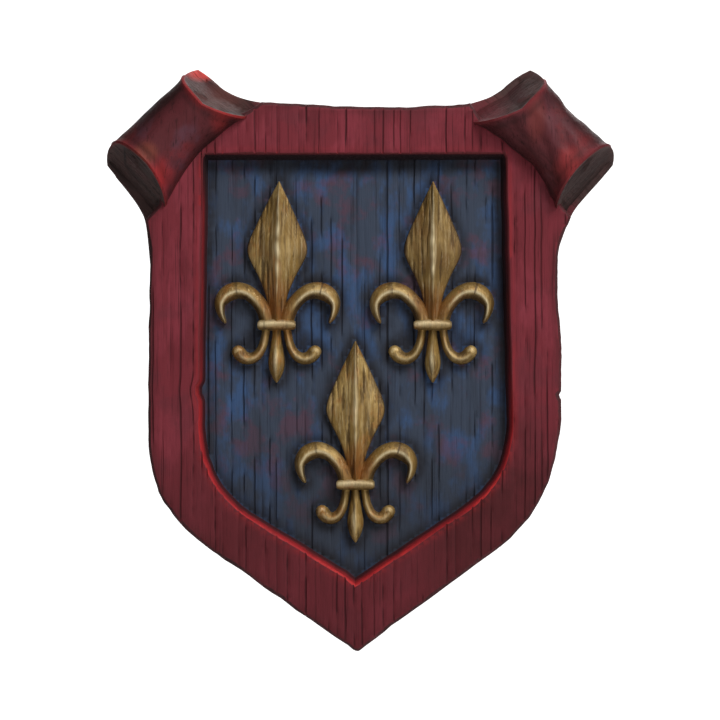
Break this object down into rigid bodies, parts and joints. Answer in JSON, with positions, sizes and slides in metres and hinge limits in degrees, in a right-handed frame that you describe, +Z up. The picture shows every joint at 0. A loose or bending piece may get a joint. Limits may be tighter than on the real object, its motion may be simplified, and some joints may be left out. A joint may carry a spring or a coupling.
{
  "type": "heraldic shield wall plaque",
  "caption": "Moulded wood-look wall plaque: crimson shield frame with rolled upper corners around a sunk blue field with gilt fleurs-de-lis.",
  "frame": {"origin": "Middle of the flat back face, at half the height and half the width of the shield.", "axes": "+Z up, +X to the viewer's right as the shield hangs, +Y out of the back towards the wall. The decorated front faces -Y."},
  "size_m": [0.3488, 0.0472, 0.4],
  "materials": {
    "painted_moulding": "matt crimson, blue and gilt paint over a dark brown wash on moulded rigid foam"
  },
  "bodies": {
    "root": {"shield_plaque": "painted_moulding"}
  },
  "joints": []
}
